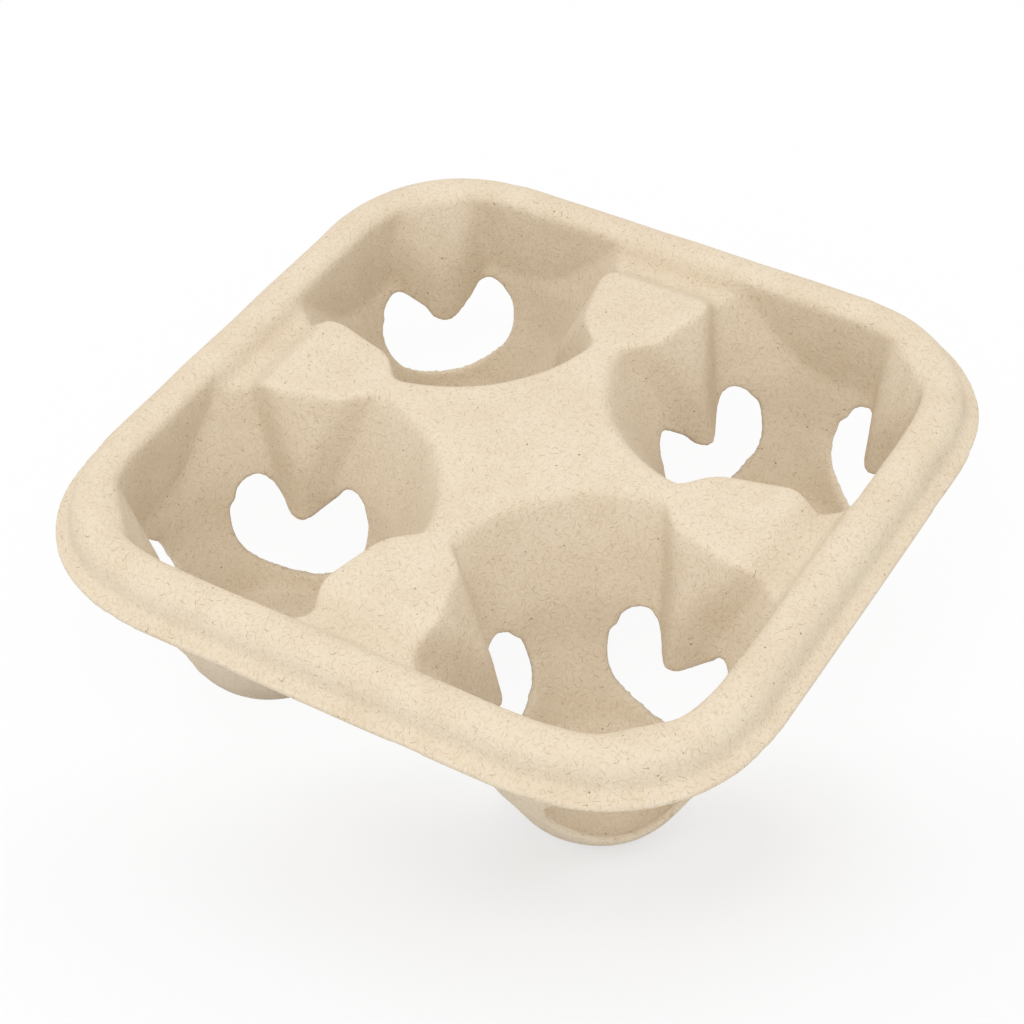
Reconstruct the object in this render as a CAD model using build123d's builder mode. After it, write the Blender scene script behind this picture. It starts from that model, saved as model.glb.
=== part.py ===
from build123d import *
from math import atan2, copysign, cos, radians, sqrt, tan
import os

os.makedirs("parts", exist_ok=True)

# Moulded pulp carrier for takeaway cups: one skin of even thickness, pressed
# into a square tray with a rolled rim, a raised deck and a pocket at each corner.
# All sizes are in millimetres. Z = 0 is the plane that the pockets stand on.

# Tray outline
tray_width = 215.0
corner_radius = 47.0
side_bow = 0.9
wall = 2.2

# Rim, seen in section: sizes run inwards from the trimmed edge and up from it
flange_width = 4.0
rim_lean = 1.5
rim_rise = 12.0
rim_width = 16.5
rim_foot = 19.0
rim_radius = 5.8
flange_fillet = 2.0
foot_fillet = 3.5
shelf_land = 3.0

# Flats that stand in for each arc of a section
rim_arc_flats = 2
small_arc_flats = 1

# Shelf beside the rim and the raised deck between the pockets
shelf_rise = 5.0
deck_rise = 9.5
deck_width = 154.0
riser_run = 7.0
riser_fillet = 6.0

# Pockets, seen in section from the pocket's own axis
pocket_count = 4
pocket_pitch = 107.0
floor_radius = 21.0
floor_drop = 51.0
knee_radius = 32.0
knee_drop = 30.0
waist_radius = 36.0
waist_drop = 17.0
mouth_radius = 50.5
floor_fillet = 4.0
mouth_fillet = 5.0
mouth_lift = 0.3
well_inset = 17.0

# Tongues that grip the cup
tongues_per_pocket = 3
nose_radius = 28.0
nose_drop = 12.0
tip_radius = 25.5
tip_drop = 28.5
fold_half_width = 16.5
side_fold_radius = 38.0
corner_fold_radius = 41.5
tongue_fillet = 4.5

# W-shaped cut-out under each tongue, drawn as seen from the pocket's axis
slot_half_width = 20.0
slot_widest_drop = 27.0
slot_bottom_drop = 46.5
horn_half_width = 16.5
horn_drop = 14.5
valley_drop = 30.6
valley_fillet = 5.5
horn_fillet = 3.8
valley_clearance = 2.4
slot_start_radius = 13.0
slot_end_radius = 44.0

# How far a cutting shape runs past what it cuts
overrun = 6.0

# Heights above the standing plane
floor_level = wall
edge_level = floor_level + floor_drop
shelf_level = edge_level + shelf_rise
deck_level = edge_level + deck_rise
rim_level = edge_level + rim_rise
sky_level = rim_level + overrun
pocket_reach = pocket_pitch / sqrt(2)


def flattened(corners):
    # The points of corners given as (x, y, radius, flats), with flats that touch
    # each corner's arc in place of it
    points = [Vector(x, y) for x, y, _, _ in corners]
    flattened_points = []
    for k, (_, _, radius, flats) in enumerate(corners):
        point = points[k]
        to_last = (points[k - 1] - point).normalized()
        to_next = (points[(k + 1) % len(points)] - point).normalized()
        half_turn = (180 - to_last.get_angle(to_next)) / 2
        step = 2 * half_turn / (flats + 1)
        centre = point + (to_last + to_next).normalized() * (radius / cos(radians(half_turn)))
        start = point + to_last * (radius * tan(radians(half_turn)))
        side = copysign(1, to_next.cross(to_last).Z)
        reach = (start - centre) / cos(radians(step / 2))
        for n in range(flats + 1):
            flattened_points.append(centre + reach.rotate(Axis.Z, side * (n + 1 / 2) * step))
    return flattened_points


def skin_face(corners, skin):
    # A closed outline, anticlockwise, its sides moved inwards by the skin
    points = flattened(corners)
    moved = []
    for k, point in enumerate(points):
        before = (point - points[k - 1]).normalized().rotate(Axis.Z, 90)
        after = (points[(k + 1) % len(points)] - point).normalized().rotate(Axis.Z, 90)
        moved.append(point + (before + after) * (skin / (1 + before.dot(after))))
    with BuildSketch() as face:
        with BuildLine():
            Polyline(*moved, close=True)
        make_face()
    return face.sketch


def tray_outline(inset):
    # Rounded square with sides bowed slightly outwards, drawn in by the inset, which
    # keeps the centres of its arcs
    half = tray_width / 2
    bow_radius = ((half - side_bow) ** 2 + side_bow ** 2) / (2 * side_bow)
    centre = half - bow_radius
    corner = (centre + sqrt(2 * (bow_radius - inset) ** 2 - centre ** 2)) / 2
    middle = half - inset
    corners = [(corner, -corner), (corner, corner), (-corner, corner), (-corner, -corner)]
    middles = [(middle, 0), (0, middle), (-middle, 0), (0, -middle)]
    with BuildSketch() as outline:
        with BuildLine():
            for k, middle_point in enumerate(middles):
                ThreePointArc(corners[k], middle_point, corners[(k + 1) % len(corners)])
        make_face()
        fillet(outline.vertices(), corner_radius - inset)
    return outline.sketch


def rim_ring(skin):
    # Everything under the rim's surface, as a ring; skin lowers that surface
    path = tray_outline(0).face().outer_wire().moved(Location((0, 0, edge_level)))
    start, along = path @ 0, path % 0
    outer = -2 * skin
    inner = rim_foot + 2 * shelf_land
    base = -edge_level - overrun - 2 * skin
    corners = [
        (outer, base, 0, 0),
        (inner, base, 0, 0),
        (inner, shelf_rise, 0, 0),
        (rim_foot, shelf_rise, foot_fillet, small_arc_flats),
        (rim_width, rim_rise, rim_radius, rim_arc_flats),
        (flange_width + rim_lean, rim_rise, rim_radius, rim_arc_flats),
        (flange_width, wall, flange_fillet, small_arc_flats),
        (outer, wall, 0, 0),
    ]
    with BuildPart() as ring:
        with BuildSketch(Plane(origin=start, x_dir=Vector(0, 0, 1).cross(along), z_dir=along)):
            add(skin_face(corners, skin))
        sweep(path=path)
    return ring.part


def blank(skin):
    # The rim, the shelf and the deck before the pockets are pressed in
    base = -overrun - 2 * skin
    riser_half_angle = atan2(deck_rise - shelf_rise, riser_run) / 2
    deck_half = deck_width / 2 - skin * tan(riser_half_angle)
    with BuildPart() as deck:
        with BuildSketch(Plane.XY.offset(deck_level - skin)):
            Rectangle(2 * deck_half, 2 * deck_half)
        with BuildSketch(Plane.XY.offset(shelf_level - skin)):
            Rectangle(2 * (deck_half + riser_run), 2 * (deck_half + riser_run))
        loft(ruled=True)
        fillet(deck.faces().sort_by(Axis.Z)[-1].edges(), riser_fillet - skin)
    with BuildPart() as mass:
        with BuildSketch(Plane.XY.offset(base)):
            add(tray_outline(rim_foot + shelf_land))
        extrude(amount=shelf_level - skin - base)
        add(rim_ring(skin))
        add(deck.part)
    return mass.part


def pocket_bowl(skin):
    # The space inside one pocket, turned about its own axis
    ledge = deck_level + mouth_lift
    outer = mouth_radius + 2 * mouth_fillet
    half_section = [
        (floor_radius, floor_level, floor_fillet, small_arc_flats),
        (knee_radius, edge_level - knee_drop, 0, 0),
        (waist_radius, edge_level - waist_drop, 0, 0),
        (mouth_radius, ledge, mouth_fillet if skin else 0, small_arc_flats if skin else 0),
        (outer, ledge, 0, 0),
        (outer, sky_level, 0, 0),
    ]
    mirrored = [(-x, *rest) for x, *rest in reversed(half_section)]
    with BuildPart() as bowl:
        with BuildSketch(Plane.XZ) as section:
            add(skin_face(half_section + mirrored, -skin))
            split(bisect_by=Plane.YZ)
            if not skin:
                fillet(section.vertices().sort_by_distance((mouth_radius, ledge, 0))[0], mouth_fillet)
        revolve(axis=Axis.Z)
    return bowl.part


def tongue(skin, fold_radius):
    # One wedge-shaped tongue pointing at the pocket's axis from +X
    nose = Vector(nose_radius, 0, edge_level - nose_drop)
    tip = Vector(tip_radius, 0, edge_level - tip_drop)
    bottom = edge_level - valley_drop - valley_clearance
    back = pocket_reach
    crown = Vector(0, 1, 0).cross(nose - Vector(fold_radius, 0, deck_level))
    with BuildPart() as wedge:
        with BuildSketch(Plane.XY.offset(bottom)):
            Rectangle(back, 2 * back, align=(Align.MIN, Align.CENTER))
        extrude(amount=sky_level - bottom)
        for side in (-1, 1):
            fold = Vector(fold_radius, side * fold_half_width, deck_level)
            flank = (fold - nose).cross(tip - nose) * side
            split(bisect_by=Plane(nose, z_dir=flank).offset(-skin), keep=Keep.BOTTOM)
        split(bisect_by=Plane(nose, z_dir=crown).offset(-skin), keep=Keep.BOTTOM)
        if not skin:
            peak = wedge.vertices().sort_by_distance(nose)[0]
            fillet(wedge.edges().sort_by_distance(peak)[:3], tongue_fillet)
    return wedge.part


def pockets(skin):
    # The space in all the pockets: bowls bounded by the rim, less their tongues
    corner_tongue, side_tongue = tongue(skin, corner_fold_radius), tongue(skin, side_fold_radius)
    turn = 360 / tongues_per_pocket
    with BuildPart() as pocket:
        add(pocket_bowl(skin))
        add(corner_tongue, mode=Mode.SUBTRACT)
        with PolarLocations(0, tongues_per_pocket - 1, turn, 360 - turn):
            add(side_tongue, mode=Mode.SUBTRACT)
    with BuildPart() as hollow:
        with PolarLocations(pocket_reach, pocket_count, start_angle=180 / pocket_count):
            add(pocket.part)
        with BuildSketch(Plane.XY.offset(-overrun)):
            add(tray_outline(well_inset - skin))
        extrude(amount=sky_level + 2 * overrun, mode=Mode.INTERSECT)
    return hollow.part


def slot_cutter():
    # One W-shaped cut-out, pushed through the pocket wall from its axis along +X
    widest = edge_level - slot_widest_drop
    horn = edge_level - horn_drop
    with BuildSketch(Plane.YZ.offset(slot_start_radius)) as outline:
        with BuildLine():
            ThreePointArc(
                (-slot_half_width, widest),
                (0, edge_level - slot_bottom_drop),
                (slot_half_width, widest),
            )
            Polyline(
                (slot_half_width, widest),
                (horn_half_width, horn),
                (0, edge_level - valley_drop),
                (-horn_half_width, horn),
                (-slot_half_width, widest),
            )
        make_face()
        fillet(outline.vertices().group_by(Axis.Y)[0], valley_fillet)
        fillet(outline.vertices().group_by(Axis.Y)[-1], horn_fillet)
    with BuildPart() as cutter:
        extrude(outline.sketch, amount=slot_end_radius - slot_start_radius)
    return cutter.part


# The upper skin's mass less the lower skin's leaves the moulded wall
upper_blank, upper_pockets = blank(0), pockets(0)
lower_blank, lower_pockets = blank(wall), pockets(wall)
slot = slot_cutter()

with BuildPart() as lower:
    add(lower_blank)
    add(lower_pockets, mode=Mode.SUBTRACT)

with BuildPart() as cup_carrier:
    add(upper_blank)
    add(upper_pockets, mode=Mode.SUBTRACT)
    add(lower.part, mode=Mode.SUBTRACT)
    with PolarLocations(pocket_reach, pocket_count, start_angle=180 / pocket_count):
        with PolarLocations(0, tongues_per_pocket):
            add(slot, mode=Mode.SUBTRACT)

cup_carrier.part.label = "cup_carrier"
export_step(cup_carrier.part, "parts/cup_carrier.step")
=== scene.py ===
import bpy
import math
import time
from mathutils import Matrix, Vector


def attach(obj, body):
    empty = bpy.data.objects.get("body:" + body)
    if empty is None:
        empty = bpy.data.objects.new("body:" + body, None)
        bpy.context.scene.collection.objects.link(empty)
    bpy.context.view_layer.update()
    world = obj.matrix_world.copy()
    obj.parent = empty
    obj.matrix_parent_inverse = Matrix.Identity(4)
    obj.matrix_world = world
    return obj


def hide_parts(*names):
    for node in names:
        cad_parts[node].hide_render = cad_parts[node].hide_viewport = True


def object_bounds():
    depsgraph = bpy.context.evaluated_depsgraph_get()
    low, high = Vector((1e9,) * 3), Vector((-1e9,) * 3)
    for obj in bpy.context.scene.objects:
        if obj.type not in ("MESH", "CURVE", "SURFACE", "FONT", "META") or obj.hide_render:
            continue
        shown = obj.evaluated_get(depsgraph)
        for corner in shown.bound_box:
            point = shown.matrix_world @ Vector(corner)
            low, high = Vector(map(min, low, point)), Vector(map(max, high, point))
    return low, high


mm = 0.001
tolerance = 0.001  # millimetres: points nearer than this are one
arcStep = 12.0  # degrees of an arc to each straight step
startTime = time.time()

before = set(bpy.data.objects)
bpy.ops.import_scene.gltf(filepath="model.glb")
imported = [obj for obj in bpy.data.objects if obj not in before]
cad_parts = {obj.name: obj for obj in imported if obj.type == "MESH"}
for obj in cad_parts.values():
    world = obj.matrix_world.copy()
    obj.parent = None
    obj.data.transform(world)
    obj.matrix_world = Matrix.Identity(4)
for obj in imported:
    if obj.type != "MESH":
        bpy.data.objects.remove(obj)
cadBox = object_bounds()


def report(text):
    print(f"{time.time() - startTime:6.1f} s  {text}")


report("frame loaded: " + ", ".join(sorted(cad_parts)))


# Small helpers for working with objects and modifiers

def deselectAll():
    if bpy.context.object and bpy.context.object.mode != "OBJECT":
        bpy.ops.object.mode_set(mode="OBJECT")
    bpy.ops.object.select_all(action="DESELECT")


def activate(piece):
    deselectAll()
    piece.select_set(True)
    bpy.context.view_layer.objects.active = piece


def applyModifier(piece, kind, **settings):
    activate(piece)
    modifier = piece.modifiers.new(kind.lower(), kind)
    for key, value in settings.items():
        setattr(modifier, key, value)
    bpy.ops.object.modifier_apply(modifier=modifier.name)


def cutWith(piece, tool, operation, keepTool=False):
    applyModifier(piece, "BOOLEAN", object=tool, operation=operation, solver="EXACT")
    if not keepTool:
        removePiece(tool)


def removePiece(piece):
    mesh = piece.data
    bpy.data.objects.remove(piece)
    bpy.data.meshes.remove(mesh)


def placedCopy(piece, matrix):
    twin = piece.copy()
    twin.data = piece.data.copy()
    bpy.context.scene.collection.objects.link(twin)
    twin.data.transform(matrix)
    return twin


def selectEdges(piece, test):
    # Leaves the piece in edit mode with only the edges that pass the test selected
    activate(piece)
    bpy.ops.object.mode_set(mode="EDIT")
    bpy.ops.mesh.select_mode(type="EDGE")
    bpy.ops.mesh.select_all(action="DESELECT")
    bpy.ops.object.mode_set(mode="OBJECT")
    for edge in piece.data.edges:
        edge.select = test([piece.data.vertices[v].co for v in edge.vertices])
    bpy.ops.object.mode_set(mode="EDIT")


def outwardNormals(piece):
    activate(piece)
    bpy.ops.object.mode_set(mode="EDIT")
    bpy.ops.mesh.select_all(action="SELECT")
    bpy.ops.mesh.remove_doubles(threshold=tolerance * mm)
    bpy.ops.mesh.normals_make_consistent(inside=False)
    bpy.ops.object.mode_set(mode="OBJECT")


def roundedSection(corners):
    # Points of a section through (x, z, radius) corners, with an arc at each radius
    points = []
    for k, (x, z, radius) in enumerate(corners):
        here = Vector((x, z))
        if not radius or k in (0, len(corners) - 1):
            points.append(here)
            continue
        toLast = (Vector(corners[k - 1][:2]) - here).normalized()
        toNext = (Vector(corners[k + 1][:2]) - here).normalized()
        half = toLast.angle(toNext) / 2
        reach = radius / math.tan(half)
        centre = here + (toLast + toNext).normalized() * (radius / math.sin(half))
        start, end = here + toLast * reach, here + toNext * reach
        steps = max(2, round(math.degrees(math.pi - 2 * half) / arcStep))
        for step in range(steps + 1):
            chord = start.lerp(end, step / steps) - centre
            points.append(centre + chord.normalized() * radius)
    return points


# The tray's rounded outline, its rim, its shelf and its raised deck, in millimetres

tray = {
    "width": (cadBox[1][0] - cadBox[0][0]) / mm,
    "rimHeight": (cadBox[1][2] - cadBox[0][2]) / mm,
    "cornerRadius": 47.0,
    "sideBow": 0.9,
    "wall": 2.2,
    "flangeWidth": 4.0,
    "rimLean": 1.5,
    "rimRise": 12.0,
    "rimWidth": 16.5,
    "rimFoot": 19.0,
    "rimRadius": 5.8,
    "flangeFillet": 2.0,
    "footFillet": 3.5,
    "shelfRise": 5.0,
    "deckRise": 9.5,
    "deckWidth": 154.0,
    "riserRun": 7.0,
    "shelfLand": 3.0,
    "leastInset": 0.01,
    "cornerSteps": 20,
    "sideSteps": 12,
    "shortestSide": 20.0,  # longer edges of the outline are its bowed sides
    "skirt": 5.0,  # how far the blank reaches past the outline before trimming
    "depthBelow": 9.0,  # and below the standing plane
    "headroom": 6.0,
    "overrun": 5.0,  # how far a cutting shape runs past what it cuts
}
edgeHeight = tray["rimHeight"] - tray["rimRise"]
deckHeight = edgeHeight + tray["deckRise"]
skyHeight = tray["rimHeight"] + tray["headroom"]


def roundedPlane(name, inset, height):
    # A flat rounded square with bowed sides, left in edit mode with its face selected
    half = tray["width"] / 2 - inset
    reach = (half - tray["sideBow"]) * mm
    deselectAll()
    bpy.ops.mesh.primitive_plane_add(size=2 * (half - tray["sideBow"]) * mm, location=(0, 0, height * mm))
    plane = bpy.context.object
    plane.name = name
    bpy.ops.object.transform_apply(location=True, rotation=False, scale=False)
    bpy.ops.object.mode_set(mode="EDIT")
    bpy.ops.mesh.bevel(
        affect="VERTICES", offset=(tray["cornerRadius"] - inset) * mm,
        segments=tray["cornerSteps"], profile=0.5)
    bpy.ops.object.mode_set(mode="OBJECT")
    selectEdges(plane, lambda ends: (ends[0] - ends[1]).length > tray["shortestSide"] * mm)
    bpy.ops.mesh.subdivide(number_cuts=tray["sideSteps"] - 1)
    bpy.ops.object.mode_set(mode="OBJECT")
    onSideShare = 0.999
    for vertex in plane.data.vertices:
        for axis in (0, 1):
            if abs(vertex.co[axis]) / reach > onSideShare:
                along = vertex.co[1 - axis] / reach
                bow = tray["sideBow"] * mm * (1 - along * along)
                vertex.co[axis] += math.copysign(bow, vertex.co[axis])
    bpy.ops.object.mode_set(mode="EDIT")
    bpy.ops.mesh.select_mode(type="FACE")
    bpy.ops.mesh.select_all(action="SELECT")
    return plane


def stepUp(rise):
    bpy.ops.mesh.extrude_region_move(TRANSFORM_OT_translate={"value": (0, 0, rise * mm)})


def makePrism(name, inset, low, high):
    prism = roundedPlane(name, inset, low)
    stepUp(high - low)
    bpy.ops.object.mode_set(mode="OBJECT")
    outwardNormals(prism)
    return prism


def makeBlank():
    # Everything under the upper skin before the pockets are pressed in
    body = roundedPlane("pulpBlank", -tray["skirt"], -tray["depthBelow"])
    stepUp(edgeHeight + tray["wall"] + tray["depthBelow"])
    section = roundedSection([
        (-tray["skirt"], tray["wall"], 0),
        (tray["flangeWidth"], tray["wall"], tray["flangeFillet"]),
        (tray["flangeWidth"] + tray["rimLean"], tray["rimRise"], tray["rimRadius"]),
        (tray["rimWidth"], tray["rimRise"], tray["rimRadius"]),
        (tray["rimFoot"], tray["shelfRise"], tray["footFillet"]),
        (tray["rimFoot"] + tray["shelfLand"], tray["shelfRise"], 0),
    ])
    for last, here in zip(section, section[1:]):
        inwards = max(here.x - last.x, tray["leastInset"])
        bpy.ops.mesh.inset(thickness=inwards * mm, depth=0, use_even_offset=True)
        bpy.ops.transform.translate(value=(0, 0, (here.y - last.y) * mm))
    bpy.ops.object.mode_set(mode="OBJECT")
    outwardNormals(body)

    deckHalf = tray["deckWidth"] / 2
    deselectAll()
    bpy.ops.mesh.primitive_plane_add(
        size=2 * (deckHalf + tray["riserRun"]) * mm, location=(0, 0, edgeHeight * mm))
    deck = bpy.context.object
    bpy.ops.object.transform_apply(location=True, rotation=False, scale=False)
    bpy.ops.object.mode_set(mode="EDIT")
    stepUp(tray["shelfRise"])
    stepUp(tray["deckRise"] - tray["shelfRise"])
    shrink = deckHalf / (deckHalf + tray["riserRun"])
    bpy.ops.transform.resize(value=(shrink, shrink, 1))
    bpy.ops.object.mode_set(mode="OBJECT")
    outwardNormals(deck)
    cutWith(body, deck, "UNION")
    return body


# One pocket: a stepped bowl and three tongues, worked out about the pocket's own axis

pocket = {
    "pitch": 107.0,
    "floorRadius": 21.0,
    "floorDrop": 51.0,
    "kneeRadius": 32.0,
    "kneeDrop": 30.0,
    "waistRadius": 36.0,
    "waistDrop": 17.0,
    "mouthRadius": 50.5,
    "floorFillet": 4.0,
    "kneeFillet": 12.0,
    "waistFillet": 30.0,
    "mouthFillet": 5.0,
    "mouthLift": 0.3,
    "wellInset": 17.0,
    "turnSteps": 120,
}
tongueSteps = 5  # flats across each rounded edge of a tongue
# Radii and half widths are measured from the pocket's axis, drops from the trimmed edge
sideTongue = {
    "noseRadius": 28.5,
    "noseDrop": 12.7,
    "tipRadius": 25.5,
    "tipDrop": 28.5,
    "foldRadius": 40.0,
    "foldHalfWidth": 11.0,
    "foldDrop": -tray["deckRise"],
    "bottomDrop": 33.0,
    "noseBevel": 2.6,
}
cornerTongue = {
    "noseRadius": 27.2,
    "noseDrop": 14.2,
    "tipRadius": 25.5,
    "tipDrop": 28.5,
    "foldRadius": 37.3,
    "foldHalfWidth": 15.5,
    "foldDrop": 1.8 - tray["rimRise"],
    "bottomDrop": 33.0,
    "noseBevel": 3.4,
    "ridgeRadius": 44.0,  # where its top reaches the height of the rim
    "crownInset": 10.0,  # how near the tray's edge it runs up onto the rim
    "rimGap": 0.05,  # how far under the rim's top it stops
}
pocketReach = pocket["pitch"] / math.sqrt(2)


def makeBowl():
    ledge = deckHeight + pocket["mouthLift"]
    outer = pocket["mouthRadius"] + 2 * pocket["mouthFillet"]
    section = roundedSection([
        (0, edgeHeight - pocket["floorDrop"], 0),
        (pocket["floorRadius"], edgeHeight - pocket["floorDrop"], pocket["floorFillet"]),
        (pocket["kneeRadius"], edgeHeight - pocket["kneeDrop"], pocket["kneeFillet"]),
        (pocket["waistRadius"], edgeHeight - pocket["waistDrop"], pocket["waistFillet"]),
        (pocket["mouthRadius"], ledge, pocket["mouthFillet"]),
        (outer, ledge, 0),
        (outer, skyHeight, 0),
    ])[1:]
    deselectAll()
    bpy.ops.mesh.primitive_circle_add(
        vertices=pocket["turnSteps"], radius=section[0].x * mm, fill_type="NGON",
        location=(0, 0, section[0].y * mm))
    bowl = bpy.context.object
    bpy.ops.object.transform_apply(location=True, rotation=False, scale=False)
    bpy.ops.object.mode_set(mode="EDIT")
    bpy.ops.mesh.select_all(action="SELECT")
    for last, here in zip(section, section[1:]):
        stepUp(here.y - last.y)
        grow = here.x / last.x
        bpy.ops.transform.resize(value=(grow, grow, 1))
    bpy.ops.object.mode_set(mode="OBJECT")
    outwardNormals(bowl)
    return bowl


def makeTongue(sizes):
    # A block behind the nose, cut by two flanks and by the sloping crown
    nose = Vector((sizes["noseRadius"], 0, edgeHeight - sizes["noseDrop"])) * mm
    tip = Vector((sizes["tipRadius"], 0, edgeHeight - sizes["tipDrop"])) * mm
    foldHeight = edgeHeight - sizes["foldDrop"]
    crownTop = Vector((sizes["foldRadius"], 0, foldHeight)) * mm
    low, high = (edgeHeight - sizes["bottomDrop"]) * mm, skyHeight * mm
    back = pocketReach * mm
    deselectAll()
    bpy.ops.mesh.primitive_cube_add(
        size=1, location=(back / 2, 0, (low + high) / 2), scale=(back, 2 * back, high - low))
    wedge = bpy.context.object
    bpy.ops.object.transform_apply(location=True, rotation=False, scale=True)
    bpy.ops.object.mode_set(mode="EDIT")
    cuts = []
    for side in (-1, 1):
        fold = Vector((sizes["foldRadius"], side * sizes["foldHalfWidth"], foldHeight)) * mm
        cuts.append((nose, (fold - nose).cross(tip - nose) * side))
    cuts.append((nose, Vector((0, 1, 0)).cross(nose - crownTop)))
    if "ridgeRadius" in sizes:
        ridge = Vector((sizes["ridgeRadius"], 0, tray["rimHeight"])) * mm
        cuts.append((ridge, Vector((0, 1, 0)).cross(crownTop - ridge)))
    for place, normal in cuts:
        bpy.ops.mesh.select_all(action="SELECT")
        bpy.ops.mesh.bisect(
            plane_co=place, plane_no=normal.normalized(), use_fill=True, clear_outer=True,
            threshold=tolerance / 10 * mm)
    bpy.ops.object.mode_set(mode="OBJECT")
    outwardNormals(wedge)
    selectEdges(wedge, lambda ends: min((end - nose).length for end in ends) < 10 * tolerance * mm)
    bpy.ops.mesh.bevel(offset=sizes["noseBevel"] * mm, segments=tongueSteps, profile=0.5, clamp_overlap=True)
    bpy.ops.object.mode_set(mode="OBJECT")
    outwardNormals(wedge)
    return wedge


def turned(degrees):
    return Matrix.Rotation(math.radians(degrees), 4, "Z")


def pocketPlaces():
    # From each pocket's own axis, with +X towards the tray's corner, to its place
    outwards = Matrix.Translation((pocketReach * mm, 0, 0))
    return [turned(45 + 90 * quarter) @ outwards for quarter in range(4)]


def makeCornerCrowns():
    # The corner tongues stand above the shelf and run up onto the rim
    crown = makeTongue(cornerTongue)
    top = tray["rimHeight"] - cornerTongue["rimGap"]
    bounds = makePrism("crownBounds", cornerTongue["crownInset"], 0, top)
    crowns = []
    for place in pocketPlaces():
        crowns.append(placedCopy(crown, place))
        cutWith(crowns[-1], bounds, "INTERSECT", keepTool=True)
    removePiece(crown)
    removePiece(bounds)
    return crowns


def makePockets():
    bowl = makeBowl()
    cutWith(bowl, makeTongue(cornerTongue), "DIFFERENCE")
    narrowTongue = makeTongue(sideTongue)
    for angle in (120, 240):
        cutWith(bowl, placedCopy(narrowTongue, turned(angle)), "DIFFERENCE")
    removePiece(narrowTongue)
    low, high = -tray["depthBelow"] - tray["overrun"], skyHeight + tray["overrun"]
    well = makePrism("pocketWell", pocket["wellInset"], low, high)
    spaces = []
    for place in pocketPlaces():
        space = placedCopy(bowl, place)
        cutWith(space, well, "INTERSECT", keepTool=True)
        spaces.append(space)
    removePiece(bowl)
    removePiece(well)
    return spaces


# The W-shaped cut-outs, drawn as seen from the pocket's axis

slotShape = {
    "halfWidth": 20.8,
    "widestDrop": 27.0,
    "bottomDrop": 46.5,
    "hornHalfWidth": 17.2,
    "hornDrop": 14.5,
    "valleyDrop": 30.6,
    "valleyFillet": 6.5,
    "hornFillet": 4.8,
    "startRadius": 13.0,
    "endRadius": 44.0,
    "straightHalfWidth": 8.0,  # within this the cut runs straight outwards
    "arcSteps": 32,
}


def slotOutline():
    widest, bottom = -slotShape["widestDrop"], -slotShape["bottomDrop"]
    halfWidth = slotShape["halfWidth"]
    rise = widest - bottom
    radius = (halfWidth ** 2 + rise ** 2) / (2 * rise)
    centre = bottom + radius
    start = math.atan2(widest - centre, halfWidth)
    sweep = -math.pi - 2 * start
    arc = []
    for step in range(slotShape["arcSteps"] + 1):
        angle = start + sweep * step / slotShape["arcSteps"]
        arc.append((radius * math.cos(angle), centre + radius * math.sin(angle)))
    points = roundedSection([
        (arc[-1][0], arc[-1][1], 0),
        (-slotShape["hornHalfWidth"], -slotShape["hornDrop"], slotShape["hornFillet"]),
        (0, -slotShape["valleyDrop"], slotShape["valleyFillet"]),
        (slotShape["hornHalfWidth"], -slotShape["hornDrop"], slotShape["hornFillet"]),
        (arc[0][0], arc[0][1], 0),
    ])
    return arc + [(p.x, p.y) for p in points[1:-1]]


def wallRadius(height):
    # Radius of the pocket's wall at a height over the trimmed edge
    low, high = ("knee", "waist") if height > -pocket["kneeDrop"] else ("floor", "knee")
    share = (height + pocket[low + "Drop"]) / (pocket[low + "Drop"] - pocket[high + "Drop"])
    return pocket[low + "Radius"] + share * (pocket[high + "Radius"] - pocket[low + "Radius"])


def makeSlotCutters():
    outline = slotOutline()
    deselectAll()
    bpy.ops.mesh.primitive_circle_add(
        vertices=len(outline), radius=slotShape["halfWidth"] * mm, fill_type="NGON")
    cutter = bpy.context.object
    for vertex, (across, height) in zip(cutter.data.vertices, outline):
        vertex.co = Vector((slotShape["startRadius"], across, edgeHeight + height)) * mm
    bpy.ops.object.mode_set(mode="EDIT")
    bpy.ops.mesh.select_all(action="SELECT")
    bpy.ops.mesh.extrude_region_move(TRANSFORM_OT_translate={
        "value": ((slotShape["endRadius"] - slotShape["startRadius"]) * mm, 0, 0)})
    bpy.ops.mesh.select_all(action="SELECT")
    bpy.ops.mesh.quads_convert_to_tris()
    bpy.ops.object.mode_set(mode="OBJECT")
    for vertex in cutter.data.vertices:
        # The ends are cut square to the round wall, the middle straight through
        across = vertex.co.y / mm
        share = min(max(abs(across) / slotShape["straightHalfWidth"] - 1, 0), 1)
        reach = math.sqrt(wallRadius(vertex.co.z / mm - edgeHeight) ** 2 - across ** 2)
        vertex.co.y *= 1 + share * (vertex.co.x / mm / reach - 1)
    outwardNormals(cutter)
    cutters = []
    for place in pocketPlaces():
        for angle in (0, 120, 240):
            cutters.append(placedCopy(cutter, place @ turned(angle)))
    removePiece(cutter)
    return cutters


# The finished skin: softened, given its wall, trimmed and cut

skin = {
    "smoothFactor": 0.5,
    "voxel": 0.95,
    "softenRounds": 6,
    "waveHeight": 0.7,
    "waveLength": 24.0,
    "waveDetail": 2,
    "skirtShare": 0.4,  # how much of the skirt stays under the trimming cut
    "floorCut": -1.5,  # everything of the blank under this height goes
    "finalVoxel": 0.65,
    "edgeRounds": 13,
    "triangles": 190000,
}


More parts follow.
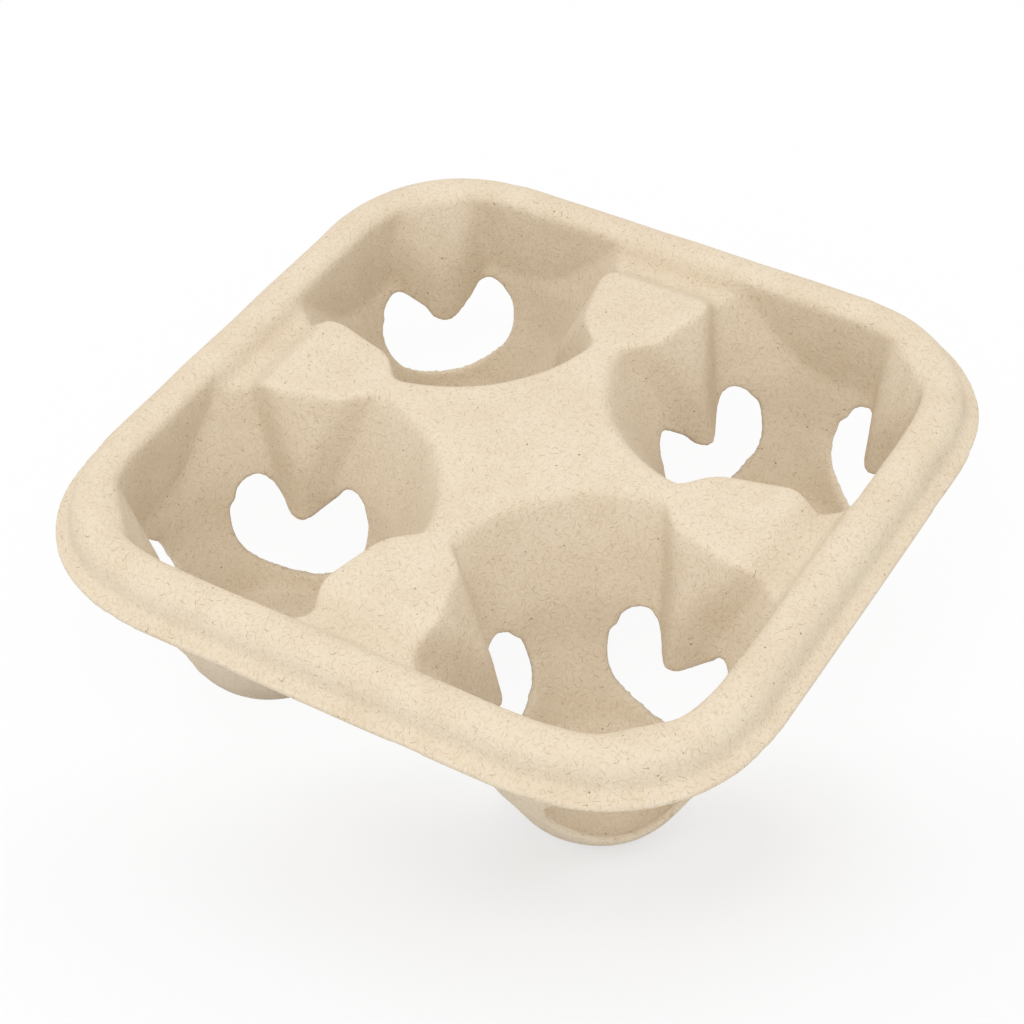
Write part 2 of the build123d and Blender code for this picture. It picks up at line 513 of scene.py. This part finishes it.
def makeCarrier():
    body = makeBlank()
    report("blank made")
    for space in makePockets():
        cutWith(body, space, "DIFFERENCE")
    for crown in makeCornerCrowns():
        cutWith(body, crown, "UNION")
    report("pockets pressed in")
    applyModifier(body, "REMESH", mode="VOXEL", voxel_size=skin["voxel"] * mm)
    report(f"remeshed to {len(body.data.polygons)} faces")
    applyModifier(body, "SMOOTH", factor=skin["smoothFactor"], iterations=skin["softenRounds"])
    waves = bpy.data.textures.new("pulpWaves", "CLOUDS")
    waves.noise_scale = skin["waveLength"] * mm
    waves.noise_depth = skin["waveDetail"]
    applyModifier(
        body, "DISPLACE", texture=waves, texture_coords="LOCAL", mid_level=0.5,
        strength=skin["waveHeight"] * mm)

    # Only the upper skin stays: the underside and the skirt's outer wall go
    outer = (tray["width"] / 2 + tray["skirt"] * skin["skirtShare"]) * mm
    corner = (tray["cornerRadius"] + tray["skirt"] * skin["skirtShare"]) * mm
    floor = skin["floorCut"] * mm
    activate(body)
    for face in body.data.polygons:
        centre = face.center
        dx, dy = max(abs(centre.x) - outer + corner, 0), max(abs(centre.y) - outer + corner, 0)
        face.select = centre.z < floor or math.hypot(dx, dy) > corner
    bpy.ops.object.mode_set(mode="EDIT")
    bpy.ops.mesh.select_mode(type="FACE")
    bpy.ops.mesh.delete(type="FACE")
    bpy.ops.object.mode_set(mode="OBJECT")
    applyModifier(body, "SOLIDIFY", thickness=tray["wall"] * mm, offset=-1, use_even_offset=False)
    report(f"wall given, {len(body.data.polygons)} faces")

    keep = makePrism("keepOutline", 0, -tray["depthBelow"], skyHeight + tray["overrun"])
    for cutter in makeSlotCutters():
        cutWith(keep, cutter, "DIFFERENCE")
    cutWith(body, keep, "INTERSECT")
    report("edge trimmed and cut-outs punched")
    applyModifier(body, "REMESH", mode="VOXEL", voxel_size=skin["finalVoxel"] * mm)
    applyModifier(body, "SMOOTH", factor=skin["smoothFactor"], iterations=skin["edgeRounds"])
    count = sum(len(face.vertices) - 2 for face in body.data.polygons)
    applyModifier(body, "DECIMATE", ratio=min(1, skin["triangles"] / count))
    report(f"thinned from {count} triangles to {len(body.data.polygons)} faces")
    activate(body)
    bpy.ops.object.shade_smooth()
    body.name = "pulpCarrier"
    body.data.name = "pulpCarrier"
    return body


carrier = makeCarrier()


# Unbleached pulp: short fibres, specks and cloudy patches over a warm straw colour

pulp = {
    "colour": (0.69, 0.595, 0.462, 1),
    "cloudColour": (0.585, 0.47, 0.33, 1),
    "paleFibre": (0.78, 0.705, 0.58, 1),
    "goldFibre": (0.50, 0.35, 0.165, 1),
    "darkFibre": (0.22, 0.13, 0.055, 1),
    "speck": (0.16, 0.09, 0.04, 1),
    "roughness": 0.92,
    "specular": 0.2,
    "patchSize": 14.0,
    "patchEdges": (0.38, 0.66),
    "patchStrength": 0.28,
    "grainSize": 0.8,
    "grainDetail": 3.0,
    "darkGrainEdges": (0.5, 0.8),
    "darkGrainStrength": 0.45,
    "paleGrainEdges": (0.5, 0.25),
    "paleGrainStrength": 0.3,
    "wobbleScale": 0.9,
    "wobble": 0.5,
    "coreShare": 0.3,  # of a fibre's width and length, where it is at its strongest
    "speckSpacing": 3.6,
    "speckSize": 0.085,
    "speckBlur": 0.02,
    "speckEdges": (0.55, 0.75),
    "speckStrength": 0.7,
    "lumpSize": 2.4,
    "lumpHeight": 1.6,
    "fibreHeight": 0.35,
    "bumpStrength": 0.8,
    "bumpHeight": 0.00016,
}
# Fibres, from the pale felt of the surface to the few dark ones, in millimetres
fibreLayers = {
    "pale": {
        "colour": "paleFibre", "strength": 0.55, "spacing": 1.5, "length": 1.7,
        "width": 0.11, "bend": 0.20, "share": 1.0, "shift": 11.0,
    },
    "gold": {
        "colour": "goldFibre", "strength": 0.42, "spacing": 1.7, "length": 1.8,
        "width": 0.12, "bend": -0.25, "share": 0.9, "shift": 37.0,
    },
    "longGold": {
        "colour": "goldFibre", "strength": 0.42, "spacing": 2.3, "length": 2.2,
        "width": 0.11, "bend": 0.22, "share": 0.9, "shift": 71.0,
    },
    "dark": {
        "colour": "darkFibre", "strength": 0.62, "spacing": 3.4, "length": 1.9,
        "width": 0.10, "bend": 0.30, "share": 0.45, "shift": 90.0,
    },
}


def makePulp():
    material = bpy.data.materials.new("pulp")
    material.use_nodes = True
    tree = material.node_tree
    shader = tree.nodes["Principled BSDF"]

    def node(kind, settings=None, **inputs):
        # One node, with numbers, colours or other nodes' outputs on its inputs
        new = tree.nodes.new(kind)
        for key, value in (settings or {}).items():
            setattr(new, key, value)
        for key, value in inputs.items():
            numbered = key[0] == "i" and key[1:].isdigit()
            socket = new.inputs[int(key[1:]) if numbered else key]
            if isinstance(value, bpy.types.NodeSocket):
                tree.links.new(value, socket)
            else:
                socket.default_value = value
        return new

    def maths(operation, first, second=0.0):
        return node("ShaderNodeMath", {"operation": operation}, i0=first, i1=second).outputs[0]

    def vectors(operation, first, second=(0, 0, 0)):
        done = node("ShaderNodeVectorMath", {"operation": operation}, i0=first, i1=second)
        return done.outputs["Value" if operation == "DOT_PRODUCT" else "Vector"]

    def scaled(vector, factor):
        done = node("ShaderNodeVectorMath", {"operation": "SCALE"}, i0=vector)
        if isinstance(factor, bpy.types.NodeSocket):
            tree.links.new(factor, done.inputs["Scale"])
        else:
            done.inputs["Scale"].default_value = factor
        return done.outputs["Vector"]

    def ramp(value, low, high):
        # 0 below low and 1 above high, or the other way round when low is above high
        done = node("ShaderNodeMapRange", {"interpolation_type": "SMOOTHSTEP"}, i0=value, i1=low, i2=high)
        return done.outputs[0]

    def mixed(amount, under, over):
        done = node("ShaderNodeMix", {"data_type": "RGBA"}, i0=amount, i6=under, i7=over)
        return done.outputs[2]

    coords = node("ShaderNodeTexCoord")
    place = scaled(coords.outputs["Object"], 1 / mm)
    facing = coords.outputs["Normal"]

    def clouds(size, detail=2.0):
        return node("ShaderNodeTexNoise", None, Vector=place, Scale=1 / size, Detail=detail).outputs["Fac"]

    def cellsOf(spot, spacing):
        # The cells of a 3-D Voronoi pattern, and a chance that is even within each
        cells = node("ShaderNodeTexVoronoi", {"voronoi_dimensions": "3D"}, Vector=spot, Scale=1 / spacing)
        chance = node("ShaderNodeTexWhiteNoise", {"noise_dimensions": "3D"}, Vector=cells.outputs["Position"])
        return cells, chance

    def fibres(layer):
        # One short bent fibre in each cell, lying in the surface
        wobble = node("ShaderNodeTexNoise", None, Vector=place, Scale=pulp["wobbleScale"], Detail=1.0)
        spot = vectors("ADD", place, scaled(wobble.outputs["Color"], pulp["wobble"]))
        spot = vectors("ADD", spot, [layer["shift"] * share for share in (1, 0.7, 0.3)])
        cells, chance = cellsOf(spot, layer["spacing"])
        local = vectors("SUBTRACT", spot, cells.outputs["Position"])
        heading = vectors("SUBTRACT", chance.outputs["Color"], (0.5, 0.5, 0.5))
        outOfPlane = scaled(facing, vectors("DOT_PRODUCT", heading, facing))
        heading = vectors("NORMALIZE", vectors("SUBTRACT", heading, outOfPlane))
        sideways = vectors("CROSS_PRODUCT", facing, heading)
        along = vectors("DOT_PRODUCT", local, heading)
        bow = maths("MULTIPLY", maths("MULTIPLY", along, along), layer["bend"])
        across = maths("ABSOLUTE", maths("SUBTRACT", vectors("DOT_PRODUCT", local, sideways), bow))
        thin = ramp(across, layer["width"], layer["width"] * pulp["coreShare"])
        short = ramp(maths("ABSOLUTE", along), layer["length"] / 2, layer["length"] * pulp["coreShare"])
        present = ramp(chance.outputs["Value"], 1 - layer["share"], 1 - layer["share"] * 0.6)
        return maths("MULTIPLY", maths("MULTIPLY", thin, short), present)

    # Cloudy ground
    patches = ramp(clouds(pulp["patchSize"], pulp["grainDetail"]), *pulp["patchEdges"])
    grain = clouds(pulp["grainSize"], pulp["grainDetail"])
    darkGrain, paleGrain = ramp(grain, *pulp["darkGrainEdges"]), ramp(grain, *pulp["paleGrainEdges"])
    colour = mixed(maths("MULTIPLY", patches, pulp["patchStrength"]), pulp["colour"], pulp["cloudColour"])
    colour = mixed(maths("MULTIPLY", darkGrain, pulp["darkGrainStrength"]), colour, pulp["cloudColour"])
    colour = mixed(maths("MULTIPLY", paleGrain, pulp["paleGrainStrength"]), colour, pulp["paleFibre"])

    drawn = {}
    for name, layer in fibreLayers.items():
        drawn[name] = fibres(layer)
        colour = mixed(maths("MULTIPLY", drawn[name], layer["strength"]), colour, pulp[layer["colour"]])

    # Specks of bark
    crumbs, crumbChance = cellsOf(place, pulp["speckSpacing"])
    crumbSize = maths("MULTIPLY", crumbChance.outputs["Value"], pulp["speckSize"])
    past = maths("SUBTRACT", crumbs.outputs["Distance"], crumbSize)
    speck = ramp(past, pulp["speckBlur"], -pulp["speckBlur"])
    speck = maths("MULTIPLY", speck, ramp(crumbChance.outputs["Value"], *pulp["speckEdges"]))
    colour = mixed(maths("MULTIPLY", speck, pulp["speckStrength"]), colour, pulp["speck"])

    height = maths("ADD", grain, maths("MULTIPLY", clouds(pulp["lumpSize"]), pulp["lumpHeight"]))
    raised = maths("MULTIPLY", maths("ADD", drawn["gold"], drawn["pale"]), pulp["fibreHeight"])
    height = maths("ADD", height, raised)
    bump = node(
        "ShaderNodeBump", None, Strength=pulp["bumpStrength"], Distance=pulp["bumpHeight"], Height=height)
    tree.links.new(colour, shader.inputs["Base Color"])
    tree.links.new(bump.outputs["Normal"], shader.inputs["Normal"])
    shader.inputs["Roughness"].default_value = pulp["roughness"]
    shader.inputs["Specular IOR Level"].default_value = pulp["specular"]
    return material


carrier.data.materials.clear()
carrier.data.materials.append(makePulp())
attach(carrier, "root")
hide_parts("cup_carrier")
report("pulp finish made")


# Floor, light and camera

studio = {
    "floorSize": 6.0,
    "floorColour": (0.78, 0.79, 0.81, 1),
    "floorRoughness": 0.9,
    "frontGlow": 0.42,  # share of the floor's white that is painted glow and takes no shadow, before the tray
    "backGlow": 0.93,  # the same under and behind the tray, where this painted glow hides the tray's shadow
    "glowStart": 0.05,  # how far before the tray's middle the glow begins to fall
    "glowEnd": 0.12,
    "worldStrength": 1.04,
    "worldColour": (1.0, 0.99, 0.97, 1),
    "keyPower": 6.0,
    "keySize": 1.2,
    "keyPlace": (0.1, -0.6, 1.35),
    "keyAim": (0, 0, 0.05),
}


def makeFloor():
    # White paper with painted light: to the camera most of its white glows, most of all under and behind the
    # tray, so its shadows stay faint
    deselectAll()
    bpy.ops.mesh.primitive_plane_add(size=studio["floorSize"], location=(0, 0, 0))
    floor = bpy.context.object
    floor.name = "floor"
    material = bpy.data.materials.new("floorPaperPaintedGlow")
    material.use_nodes = True
    tree = material.node_tree
    shader = tree.nodes["Principled BSDF"]
    shader.inputs["Base Color"].default_value = studio["floorColour"]
    shader.inputs["Roughness"].default_value = studio["floorRoughness"]
    glow = tree.nodes.new("ShaderNodeEmission")
    blend = tree.nodes.new("ShaderNodeMixShader")
    seen = tree.nodes.new("ShaderNodeLightPath")
    coords = tree.nodes.new("ShaderNodeTexCoord")
    before = tree.nodes.new("ShaderNodeVectorMath")
    before.operation = "DOT_PRODUCT"
    azimuth = math.radians(photoCamera["azimuth"])
    before.inputs[1].default_value = (math.cos(azimuth), math.sin(azimuth), 0)
    # Painted light: the glow share rises under and behind the tray, which hides the tray's shadow there
    glowShare = tree.nodes.new("ShaderNodeMapRange")
    glowShare.interpolation_type = "SMOOTHSTEP"
    glowShare.inputs["From Min"].default_value = studio["glowStart"]
    glowShare.inputs["From Max"].default_value = studio["glowEnd"]
    glowShare.inputs["To Min"].default_value = studio["backGlow"]
    glowShare.inputs["To Max"].default_value = studio["frontGlow"]
    share = tree.nodes.new("ShaderNodeMath")
    share.operation = "MULTIPLY"
    tree.links.new(coords.outputs["Object"], before.inputs[0])
    tree.links.new(before.outputs["Value"], glowShare.inputs["Value"])
    tree.links.new(seen.outputs["Is Camera Ray"], share.inputs[0])
    tree.links.new(glowShare.outputs[0], share.inputs[1])
    tree.links.new(share.outputs[0], blend.inputs[0])
    tree.links.new(shader.outputs[0], blend.inputs[1])
    tree.links.new(glow.outputs[0], blend.inputs[2])
    tree.links.new(blend.outputs[0], tree.nodes["Material Output"].inputs["Surface"])
    floor.data.materials.append(material)


def makeLights():
    world = bpy.data.worlds.new("studio")
    bpy.context.scene.world = world
    world.use_nodes = True
    background = world.node_tree.nodes["Background"]
    background.inputs["Color"].default_value = studio["worldColour"]
    background.inputs["Strength"].default_value = studio["worldStrength"]
    deselectAll()
    bpy.ops.object.light_add(type="AREA", location=studio["keyPlace"])
    key = bpy.context.object
    key.name = "keyLight"
    key.data.shape = "DISK"
    key.data.size = studio["keySize"]
    key.data.energy = studio["keyPower"]
    aim = Vector(studio["keyAim"]) - key.location
    key.rotation_euler = aim.to_track_quat("-Z", "Y").to_euler()


photoCamera = {
    "azimuth": -57.79,
    "elevation": 42.8,
    "roll": -1.91,
    "distance": 688.6,
    "lens": 88.43,
    "sensor": 36.0,
    "nearClip": 0.01,
    "target": (7.28, -19.66, 53.2),
}


def makeCamera():
    azimuth, elevation = math.radians(photoCamera["azimuth"]), math.radians(photoCamera["elevation"])
    level = math.cos(elevation)
    outward = Vector((level * math.cos(azimuth), level * math.sin(azimuth), math.sin(elevation)))
    roll = math.radians(photoCamera["roll"])
    sideways = (-outward).cross(Vector((0, 0, 1))).normalized()
    upright = sideways.cross(-outward)
    right = sideways * math.cos(roll) + upright * math.sin(roll)
    up = upright * math.cos(roll) - sideways * math.sin(roll)
    place = Vector(photoCamera["target"]) * mm + outward * photoCamera["distance"] * mm
    deselectAll()
    bpy.ops.object.camera_add()
    camera = bpy.context.object
    camera.name = "photoCamera"
    facing = Matrix((right, up, outward)).transposed().to_4x4()
    camera.matrix_world = Matrix.Translation(place) @ facing
    camera.data.lens = photoCamera["lens"]
    camera.data.sensor_width = photoCamera["sensor"]
    camera.data.clip_start = photoCamera["nearClip"]
    bpy.context.scene.camera = camera


makeFloor()
makeLights()
makeCamera()
bpy.context.scene.view_settings.view_transform = "Standard"
deselectAll()
report("floor, lights and camera placed")
